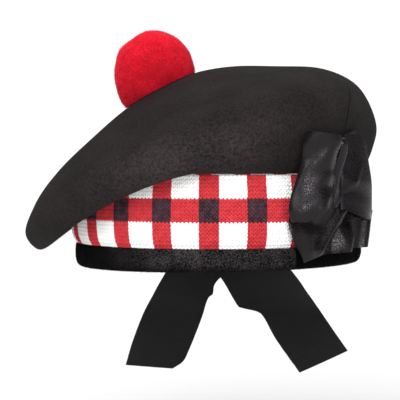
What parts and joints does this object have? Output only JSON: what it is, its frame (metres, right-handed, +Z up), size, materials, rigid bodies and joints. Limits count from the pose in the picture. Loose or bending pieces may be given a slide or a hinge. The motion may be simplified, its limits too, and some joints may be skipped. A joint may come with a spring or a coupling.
{
  "type": "balmoral bonnet",
  "caption": "Soft felt bonnet that droops to one side, with a diced knitted headband, a bound rim, a wool pompom on top, a satin bow at the temple and ribbon ties behind.",
  "frame": {"origin": "centre of the head opening, level with the bottom of the rim, where the bonnet sits on a head", "axes": "+X to the wearer's left, -Y the way the wearer looks, +Z up"},
  "size_m": [0.2249, 0.2305, 0.2326],
  "materials": {
    "black_felt": "matt milled wool felt",
    "diced_knit": "knitted wool in red, white and black squares",
    "black_velvet": "napped black tape",
    "red_wool": "dense clipped wool",
    "black_satin": "satin ribbon with a soft sheen",
    "black_ribbon": "matt woven ribbon"
  },
  "bodies": {
    "root": {"crown": "black_felt", "diced_band": "diced_knit", "edge_binding": "black_velvet", "toorie": "red_wool", "bow_loop_front": "black_satin", "bow_loop_back": "black_satin", "bow_tail_front": "black_satin", "bow_tail_back": "black_satin", "bow_knot": "black_satin", "tie_right": "black_ribbon", "tie_left": "black_ribbon"}
  },
  "joints": []
}
